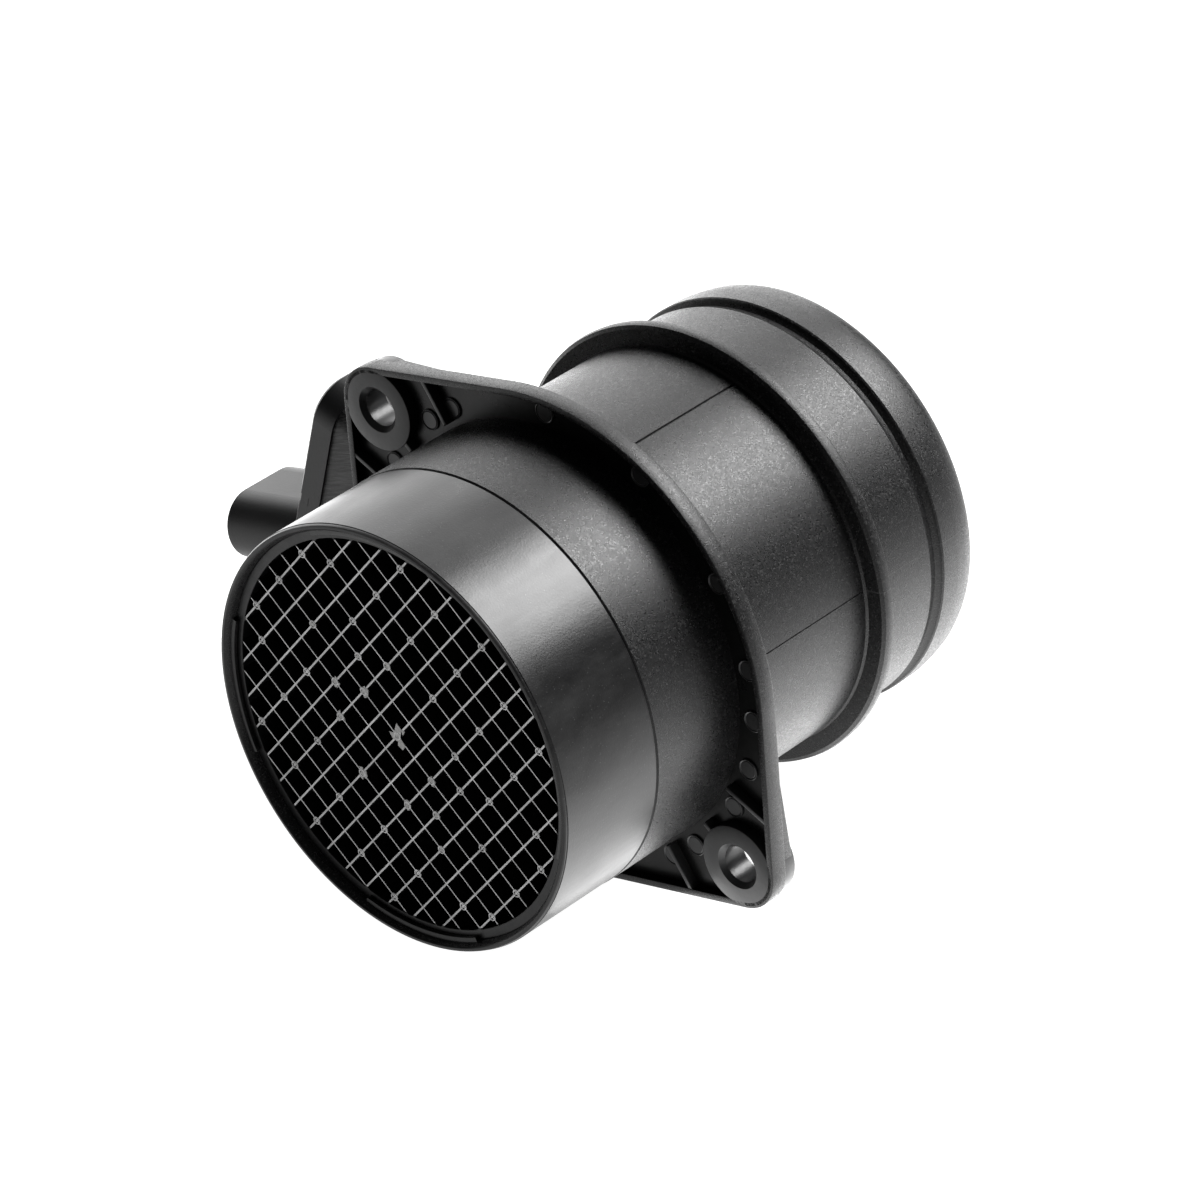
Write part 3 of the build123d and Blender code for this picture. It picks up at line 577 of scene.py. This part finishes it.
# Sensor boss. A block on the side of the tube carries the sensor head. It has the head's
# outline, a little smaller; its under side slopes back to the tube, and its front is milled.
# Its middle and size are given in the head's own directions: up, along the flow and outward.
HEAD_ANGLE = 168.0
BOSS_MIDDLE = (-13.0, 15.5, 54.2)
BOSS_SIZE = (47.4, 24.0, 8.0)
HEAD_CORNER = 6.0
WIDE_CORNER = 11.5
FOOT_REACH = 20.2
FOOT_RISE = 17.5
BOSS_BORE = 37.3
STROKE_TURN = 24
head_out = polar(1000, HEAD_ANGLE)
head_up = polar(1000, HEAD_ANGLE - 90)
milled_black, shader, place = finish("milled_black")
turned = place.node("Mapping", {}, {"Vector": place, "Rotation": (0, math.radians(STROKE_TURN), 0)})
strokes = place.node("Mapping", {}, {"Vector": turned, "Scale": (0.07, 1.0, 1.0)})
stroke = noise(strokes, 2600, 4.0, 0.65)
feed(shader, "Base Color", ((stroke - 0.4) * 4).blend((0.004, 0.004, 0.004), (0.05, 0.05, 0.05)))
feed(shader, "Roughness", 0.36 + stroke * 0.2)
feed(shader, "Normal", bumped(place, stroke, 0.00008))


def in_head(at):
    """A place in the head's own directions, in millimetres."""
    return Vector((at.dot(head_up), at.y, at.dot(head_out))) * 1000


def head_block(middle, size):
    """A block in the head's own directions, left in edit mode."""
    bpy.ops.object.select_all(action="DESELECT")
    bpy.ops.mesh.primitive_cube_add(size=1)
    block = bpy.context.object
    block.matrix_world = (
        Matrix((head_up, Vector((0, 1, 0)), head_out)).transposed().to_4x4()
        @ Matrix.Translation([length / 1000 for length in middle])
        @ Matrix.Diagonal([length / 1000 for length in size] + [1])
    )
    bpy.ops.object.transform_apply(location=True, rotation=True, scale=True)
    bpy.ops.object.mode_set(mode="EDIT")
    return block


def round_head_corners(piece, test, radius, segments):
    """Round the edges of a head-shaped block that run outward from the tube."""
    bpy.ops.mesh.select_mode(type="EDGE")
    bpy.ops.mesh.select_all(action="DESELECT")
    shape = bmesh.from_edit_mesh(piece.data)
    for edge in shape.edges:
        start, end = (in_head(corner.co) for corner in edge.verts)
        edge.select_set(abs(start.z - end.z) > 1 and test(start))
    bmesh.update_edit_mesh(piece.data)
    bpy.ops.mesh.bevel(offset=radius / 1000, segments=segments, affect="EDGES")


sensor_boss = head_block(BOSS_MIDDLE, BOSS_SIZE)
round_head_corners(sensor_boss, lambda at: at.x < 0 or at.y < 20, HEAD_CORNER, 10)
round_head_corners(sensor_boss, lambda at: at.x > 10 and at.y > 27, WIDE_CORNER, 14)
choose(sensor_boss, lambda face: face.normal.dot(head_out) < -0.9, "FACE")
bpy.ops.mesh.extrude_region_move(TRANSFORM_OT_translate={"value": head_out * (-FOOT_REACH / 1000)})
choose(sensor_boss, lambda at: in_head(at).z < 35 and in_head(at).x < -18)
bpy.ops.transform.translate(value=head_up * (FOOT_RISE / 1000))
facing_out()
bpy.ops.object.mode_set(mode="OBJECT")
boss_bore = joined_cylinders([((0, 0, 0), BOSS_BORE / 1000)], depth=0.2)
cut_away(sensor_boss, boss_bore, "DIFFERENCE")
sensor_boss.data.materials.append(milled_black)
bpy.ops.object.shade_smooth_by_angle(angle=math.radians(30))
ridden(sensor_boss, "sensor_boss")
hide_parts("measuring_tube")

# Flow straightener. A deep square grid moulded in one with its ring calms the air before the
# sensor. It is pressed into the inlet; slivers at the rim are left solid, and the front edges
# of its walls are painted pale as a highlight.
GRID_PITCH = 4.78
GRID_ANGLE = 53.9
GRID_FRONT = -40.0
GRID_DEPTH = 10.0
GRID_CELLS = 16
CELL_LENGTH = 16.0
RING_RADIUS = 38.35
MOUTH_RADIUS = 36.6
THICK_WALL = 0.44
THIN_WALL = 0.36
SMALLEST_CELL = 4.0
FRONT_CHAMFER = 0.08
grid_black, shader, place = finish("grid_black")
worn = noise(place, 420, 3.0, 0.6)
depth = place.node("SeparateXYZ", {}, {"Vector": place}, 1)
flat = place.node("Mapping", {}, {"Vector": place, "Scale": (1.0, 0.0, 1.0)})
out = place.node("VectorMath", {"operation": "LENGTH"}, {0: flat}, 1)
at_front = 1 - depth.above((GRID_FRONT + 0.03) / 1000)
in_mouth = 1 - out.above((MOUTH_RADIUS - 0.3) / 1000)
# The front edges of the walls inside the mouth are painted pale as a highlight, made patchy by noise.
highlight_patchiness = noise(place, 260, 4.0, 0.6)
painted_edge_highlight = at_front * in_mouth * (0.25 + highlight_patchiness * 0.9)
feed(shader, "Base Color", painted_edge_highlight.blend((0.003, 0.003, 0.0032), (0.62, 0.62, 0.62)))
feed(shader, "Roughness", 0.24 + worn * 0.26)
feed(shader, "Normal", bumped(place, worn + noise(place, 2400, 2.0) * 0.4, 0.00003))


def opens(column, row, samples=12):
    """Whether a cell of the grid is wide enough inside the mouth to be left open."""
    steps = [(number + 0.5) / samples for number in range(samples)]
    inside = sum(math.hypot(column + x, row + z) * GRID_PITCH < MOUTH_RADIUS for x in steps for z in steps)
    return inside * GRID_PITCH**2 / samples**2 > SMALLEST_CELL


def cell_of(at):
    """The column and row of the cell that a place is in, before the grid is turned."""
    return math.floor(at.x * 1000 / GRID_PITCH), math.floor(at.z * 1000 / GRID_PITCH)


first_cell = -(GRID_CELLS - 1) / 2 * GRID_PITCH
grid_middle = (0, (GRID_FRONT + GRID_DEPTH / 2) / 1000, 0)
bpy.ops.object.select_all(action="DESELECT")
bpy.ops.mesh.primitive_cube_add(
    size=1,
    location=(first_cell / 1000, grid_middle[1], first_cell / 1000),
    scale=((GRID_PITCH - THICK_WALL) / 1000, CELL_LENGTH / 1000, (GRID_PITCH - THIN_WALL) / 1000),
)
cells = bpy.context.object
bpy.ops.object.transform_apply(location=True, scale=True)
for name, step in (("columns", (GRID_PITCH / 1000, 0, 0)), ("rows", (0, 0, GRID_PITCH / 1000))):
    repeat = cells.modifiers.new(name, "ARRAY")
    repeat.use_relative_offset = False
    repeat.use_constant_offset = True
    repeat.constant_offset_displace = step
    repeat.count = GRID_CELLS
    bpy.ops.object.modifier_apply(modifier=name)
bpy.ops.object.mode_set(mode="EDIT")
choose(cells, lambda at: not opens(*cell_of(at)))
bpy.ops.mesh.delete(type="VERT")
bpy.ops.object.mode_set(mode="OBJECT")
cells.rotation_euler = (0, math.radians(90 - GRID_ANGLE), 0)
bpy.ops.object.transform_apply(rotation=True)
mouth = joined_cylinders([((0, GRID_FRONT / 1000, 0), MOUTH_RADIUS / 1000)], depth=0.06)
cut_away(cells, mouth, "INTERSECT")
straightener = joined_cylinders([(grid_middle, RING_RADIUS / 1000)], GRID_DEPTH / 1000)
cut_away(straightener, cells, "DIFFERENCE")
bpy.ops.object.mode_set(mode="EDIT")
bpy.ops.mesh.select_mode(type="EDGE")
bpy.ops.mesh.select_all(action="DESELECT")
shape = bmesh.from_edit_mesh(straightener.data)
for edge in shape.edges:
    in_front = all(corner.co.y < (GRID_FRONT + 0.01) / 1000 for corner in edge.verts)
    edge.select_set(in_front and edge.calc_face_angle(0) > 1)
bmesh.update_edit_mesh(straightener.data)
bpy.ops.mesh.bevel(offset=FRONT_CHAMFER / 1000, segments=1, affect="EDGES")
bpy.ops.object.mode_set(mode="OBJECT")
straightener.data.materials.append(grid_black)
bpy.ops.object.shade_smooth_by_angle(angle=math.radians(25))
ridden(straightener, "flow_grid")
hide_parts("flow_straightener")

# Pin bosses of the grid. Where ejector pins pressed on it, the crossings of the walls carry
# small rings with a dimple, moulded in one with the grid. The crossings are counted in cells
# from the middle, for one quarter of the grid; the other quarters mirror it.
PIN_CROSSINGS = (
    (0, 0), (0, 3), (0, 5), (0, 7), (2, 0), (2, 2), (2, 4), (2, 6), (3, 1),
    (4, 2), (4, 4), (4, 6), (5, 0), (6, 3), (7, 0), (7, 2),
)
PIN_RADIUS = 0.78
PIN_LENGTH = 0.9
PIN_RIM = 0.22
PIN_DIMPLE = 0.4
PIN_CHAMFER = 0.07
PIN_STATION = GRID_FRONT + 0.35


def crossing(column, row, station):
    """The place where two walls of the grid cross."""
    across = polar(column * GRID_PITCH, GRID_ANGLE - 90)
    return across + polar(row * GRID_PITCH, GRID_ANGLE) + Vector((0, station / 1000, 0))


bpy.ops.object.select_all(action="DESELECT")
bpy.ops.mesh.primitive_cylinder_add(
    vertices=20, radius=PIN_RADIUS / 1000, depth=PIN_LENGTH / 1000, rotation=(math.pi / 2, 0, 0)
)
pin_boss = bpy.context.object
bpy.ops.object.transform_apply(rotation=True)
bpy.ops.object.mode_set(mode="EDIT")
choose(pin_boss, faces_front, "FACE")
bpy.ops.mesh.inset(thickness=PIN_RIM / 1000, depth=0)
bpy.ops.mesh.inset(thickness=0.00008, depth=-PIN_DIMPLE / 1000)
choose(pin_boss, lambda at: at.y < -0.0004 and math.hypot(at.x, at.z) > 0.0007, "EDGE")
bpy.ops.mesh.bevel(offset=PIN_CHAMFER / 1000, segments=1, affect="EDGES")
bpy.ops.object.mode_set(mode="OBJECT")
pin_boss.data.materials.append(grid_black)
bpy.ops.object.shade_smooth_by_angle(angle=math.radians(35))
places = {(i * u, j * v) for i, j in PIN_CROSSINGS for u in (-1, 1) for v in (-1, 1)}
bosses = []
for column, row in sorted(places):
    boss = turned_copy(pin_boss, 0)
    boss.data.transform(Matrix.Translation(crossing(column, row, PIN_STATION)))
    bosses.append(boss)
bpy.data.objects.remove(pin_boss)
pin_bosses = joined(bosses)
ridden(pin_bosses, "grid_pin_bosses")
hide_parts("flow_straightener")

# Flash. Thin ragged skins of plastic, scuffed pale, cling to some crossings near the middle.
# Each is given by its crossing, counted in cells from the middle, and its reach.
FLASH = {
    (0, 0): 2.2, (-2, 0): 1.2, (-3, -1): 1.3, (-2, -2): 1.1, (-4, -4): 0.7, (0, -3): 1.2, (2, 0): 1.1,
    (2, -2): 1.0, (3, -1): 0.9, (-2, 2): 0.8, (-3, 1): 0.7, (2, 2): 0.6, (-5, 0): 0.6, (4, -2): 0.7,
}
FLASH_POINTS = 7
FLASH_WAIST = 0.36
FLASH_RAGGEDNESS = 0.3
FLASH_THICKNESS = 0.12
FLASH_STATION = GRID_FRONT - 0.04
FLASH_SEED = 3
pale_flash, shader, place = finish("pale_flash")
scuffs = noise(place, 1800, 3.0, 0.7)
feed(shader, "Base Color", scuffs.blend((0.03, 0.03, 0.03), (0.55, 0.55, 0.54)))
feed(shader, "Roughness", 0.5 + scuffs * 0.2)
flakes = []
for number, ((column, row), reach) in enumerate(FLASH.items()):
    middle = crossing(column, row, FLASH_STATION)
    bpy.ops.object.select_all(action="DESELECT")
    bpy.ops.mesh.primitive_circle_add(
        vertices=2 * FLASH_POINTS,
        radius=reach / 1000,
        fill_type="NGON",
        location=middle,
        rotation=(math.pi / 2, 0, 0),
    )
    flake = bpy.context.object
    bpy.ops.object.transform_apply(location=True, rotation=True)
    bpy.ops.object.mode_set(mode="EDIT")
    choose(flake, lambda at: round(math.atan2(at.z - middle.z, at.x - middle.x) * FLASH_POINTS / math.pi) % 2)
    bpy.ops.transform.resize(value=(FLASH_WAIST, 1, FLASH_WAIST), center_override=middle)
    bpy.ops.mesh.select_all(action="SELECT")
    bpy.ops.transform.vertex_random(
        offset=reach * FLASH_RAGGEDNESS / 1000, uniform=0.3, seed=number + FLASH_SEED
    )
    bpy.ops.transform.resize(value=(1, 0, 1), center_override=middle)
    bpy.ops.mesh.extrude_region_move(TRANSFORM_OT_translate={"value": (0, FLASH_THICKNESS / 1000, 0)})
    facing_out()
    bpy.ops.object.mode_set(mode="OBJECT")
    flakes.append(flake)
flash = joined(flakes)
flash.data.materials.append(pale_flash)
ridden(flash, "grid_flash")
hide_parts("flow_straightener")

# Snap tongues. Four low arcs inside the lip of the tube spring over the straightener's ring
# and hold it down on its shoulder.
TONGUE_START = 79
TONGUE_ANGLE = 40.0
TONGUE_RADIUS = 38.05
TONGUE_STATION = -40.5
TONGUE_HEIGHT = 0.9
TONGUE_WIDTH = 0.8
TONGUE_ROUNDING = 0.15
bpy.ops.object.select_all(action="DESELECT")
bpy.ops.mesh.primitive_plane_add(size=1, location=(TONGUE_RADIUS / 1000, TONGUE_STATION / 1000, 0))
snap_tongue = bpy.context.object
snap_tongue.scale = (TONGUE_HEIGHT / 1000, TONGUE_WIDTH / 1000, 1)
bpy.ops.object.transform_apply(location=True, scale=True)
bpy.ops.object.mode_set(mode="EDIT")
bpy.ops.mesh.select_all(action="SELECT")
bpy.ops.mesh.spin(steps=20, angle=math.radians(TONGUE_ANGLE), center=(0, 0, 0), axis=(0, 1, 0))
bpy.ops.mesh.select_all(action="SELECT")
bpy.ops.mesh.remove_doubles(threshold=0.000001)
facing_out()
choose(snap_tongue, lambda at: math.hypot(at.x, at.z) < (TONGUE_RADIUS - 0.15) / 1000, "EDGE")
bpy.ops.mesh.bevel(offset=TONGUE_ROUNDING / 1000, segments=2, affect="EDGES")
bpy.ops.object.mode_set(mode="OBJECT")
snap_tongue.data.materials.append(satin_black)
bpy.ops.object.shade_smooth_by_angle(angle=math.radians(35))
for number in range(4):
    tongue = turned_copy(snap_tongue, TONGUE_START + 90 * number)
    ridden(tongue, f"snap_tongue_{number + 1}")
    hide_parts("measuring_tube")
bpy.data.objects.remove(snap_tongue)

# Sensor module. The head with its connector shell and the finger in the duct are one satin
# moulding, with two lids and a chip carrier of the same plastic. Two dark screws hold it.
moulded_black, shader, place = finish("moulded_black")
sheen = noise(place, 55, 3.0, 0.5)
fine = noise(place, 2600, 2.0)
feed(shader, "Base Color", (0.006, 0.006, 0.0062, 1))
feed(shader, "Roughness", 0.36 + sheen * 0.14)
feed(shader, "Normal", bumped(place, fine, 0.00002))


def repaint(material, *nodes):
    """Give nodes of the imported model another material."""
    for node in nodes:
        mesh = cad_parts[node].data
        mesh.materials.clear()
        mesh.materials.append(material)


repaint(moulded_black, "sensor_housing", "electronics_cover", "bypass_cover", "sensor_carrier")

# Screw pocket walls. The pockets that sink the screws reach the long edges of the head; a thin
# wall of the same moulding closes each of them on that side.
POCKET_WALL_STATIONS = (3.13, 27.87)
POCKET_WALL_SIZE = (2.6, 0.24, 1.8)
POCKET_WALL_CHAMFER = 0.04
for number, station in enumerate(POCKET_WALL_STATIONS):
    pocket_wall = head_block((-13.5, station, 61.7), POCKET_WALL_SIZE)
    facing_out()
    bpy.ops.mesh.bevel(offset=POCKET_WALL_CHAMFER / 1000, segments=1, affect="EDGES")
    bpy.ops.object.mode_set(mode="OBJECT")
    pocket_wall.data.materials.append(moulded_black)
    ridden(pocket_wall, f"screw_pocket_wall_{number + 1}")

# Screws, terminals, leads and base plate. The screws are zinc-plated steel, blackened; the
# strips in the socket and the thermistor's leads are tinned; the plate inside is stamped
# aluminium. Each metal has its colour, roughness and nodes.
TERMINALS = tuple(f"terminal_{number + 1}" for number in range(5))
METALS = {
    "black_zinc": ((0.06, 0.06, 0.065), 0.35, ("fixing_screws",)),
    "tinned_brass": ((0.72, 0.70, 0.66), 0.26, (*TERMINALS, "thermistor_leads")),
    "stamped_aluminium": ((0.62, 0.63, 0.64), 0.34, ("base_plate",)),
}
for name, (colour, roughness, nodes) in METALS.items():
    metal, shader, place = finish(name)
    scratches = noise(place, 1500, 3.0, 0.6)
    feed(shader, "Metallic", 1.0)
    feed(shader, "Base Color", scratches.blend(tuple(part * 0.8 for part in colour), colour))
    feed(shader, "Roughness", roughness - 0.08 + scratches * 0.16)
    repaint(metal, *nodes)

# Seal and electronics. A black rubber ring seals the head; inside are a green-grey ceramic
# board, an epoxy chip, capacitors and the silicon film, and in the duct the thermistor's glass
# bead. Each has its colour, roughness and node.
MATT = {
    "seal_rubber_black": ((0.012, 0.012, 0.012), 0.7, "housing_seal"),
    "board_ceramic_grey": ((0.32, 0.36, 0.33), 0.55, "hybrid_board"),
    "chip_epoxy": ((0.015, 0.015, 0.017), 0.5, "control_chip"),
    "capacitor_tan": ((0.45, 0.30, 0.17), 0.45, "board_capacitors"),
    "film_silicon_violet": ((0.09, 0.07, 0.13), 0.12, "hot_film_chip"),
    "bead_glass_amber": ((0.25, 0.10, 0.03), 0.1, "air_temperature_sensor"),
}
for name, (colour, roughness, node) in MATT.items():
    matt, shader, place = finish(name)
    mottle = noise(place, 900, 3.0, 0.6)
    feed(shader, "Base Color", mottle.blend(tuple(part * 0.75 for part in colour), colour))
    feed(shader, "Roughness", roughness - 0.05 + mottle * 0.1)
    repaint(matt, node)
